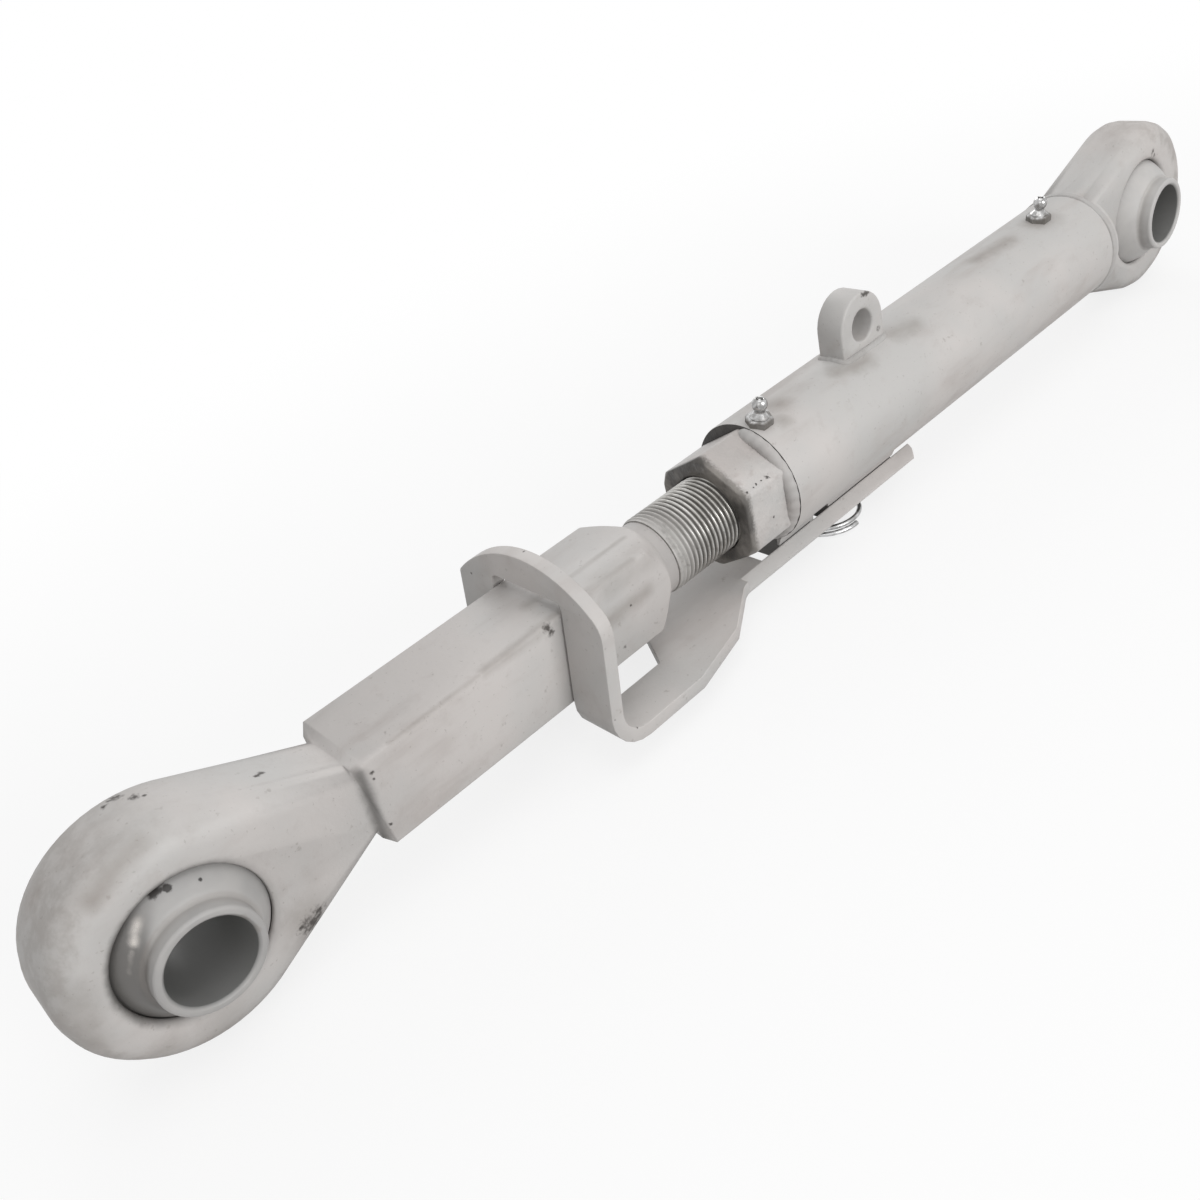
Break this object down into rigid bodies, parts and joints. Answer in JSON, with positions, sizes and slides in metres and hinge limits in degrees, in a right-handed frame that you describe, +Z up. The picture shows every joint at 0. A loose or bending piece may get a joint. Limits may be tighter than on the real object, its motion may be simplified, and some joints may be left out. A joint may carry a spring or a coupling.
{
  "type": "tractor_top_link",
  "caption": "Adjustable tractor top link: swivel-ball eyes, square spindle with screw, hex adapter, tube with lug and grease fittings, sliding lock plate and ring cotter",
  "frame": {"origin": "middle of the link's bounding box seen from above, on the floor the link's lowest point (the stud's end) stands on", "axes": "+X runs along the link from the screwed spindle's eye to the tube's eye; +Y is across the link, along both ball bores, away from the pictured side; +Z is up, towards the lug and the grease fittings"},
  "size_m": [0.5964, 0.0712, 0.0852],
  "materials": {
    "grey_paint": "warm light grey primer, semi-matt, with small dark chips",
    "plate_paint": "light grey primer over sheared sheet, semi-matt",
    "block_paint": "grey primer, matt, shaded and dusty",
    "weld_metal": "weld bead under grey primer",
    "ball_steel": "grey primer worn to bare steel on the collar edge",
    "screw_steel": "bare oiled screw, thinly painted near the shank",
    "oiled_steel": "dark oily machined face, lighter paint on the flats",
    "zinc": "bright zinc plating"
  },
  "bodies": {
    "barrel": {"tube": "grey_paint", "hex_adapter": "oiled_steel", "adapter_weld": "weld_metal", "far_eye": "grey_paint", "far_eye_weld": "weld_metal", "lug": "grey_paint", "lug_weld": "weld_metal", "front_grease_fitting": "zinc", "rear_grease_fitting": "zinc", "front_guide_block": "block_paint", "rear_guide_block": "block_paint", "front_block_weld": "weld_metal", "rear_block_weld": "weld_metal", "cotter_stud": "screw_steel"},
    "spindle": {"near_eye_shank": "grey_paint", "adjusting_screw": "screw_steel"},
    "near_ball_body": {"near_ball": "ball_steel"},
    "far_ball_body": {"far_ball": "ball_steel"},
    "plate_body": {"lock_plate": "plate_paint"},
    "ring_body": {"ring_cotter": "zinc"}
  },
  "joints": [
    {"name": "screw_slide", "type": "slide", "parent": "barrel", "child": "spindle", "axis": [1, 0, 0], "range_m": [-0.095, 0.034]},
    {"name": "near_ball_swivel", "type": "hinge", "parent": "spindle", "child": "near_ball_body", "pos_m": [-0.26115, 0, 0.0392], "axis": [0, 0, 1], "range_deg": [-11, 11]},
    {"name": "far_ball_swivel", "type": "hinge", "parent": "barrel", "child": "far_ball_body", "pos_m": [0.25485, 0, 0.0392], "axis": [0, 0, 1], "range_deg": [-11, 11]},
    {"name": "plate_slide", "type": "slide", "parent": "barrel", "child": "plate_body", "axis": [1, 0, 0], "range_m": [-0.03, 0.0095]},
    {"name": "ring_swing", "type": "hinge", "parent": "barrel", "child": "ring_body", "pos_m": [0.00775, 0, 0.0036], "axis": [0, 1, 0], "range_deg": [-1, 90]}
  ]
}
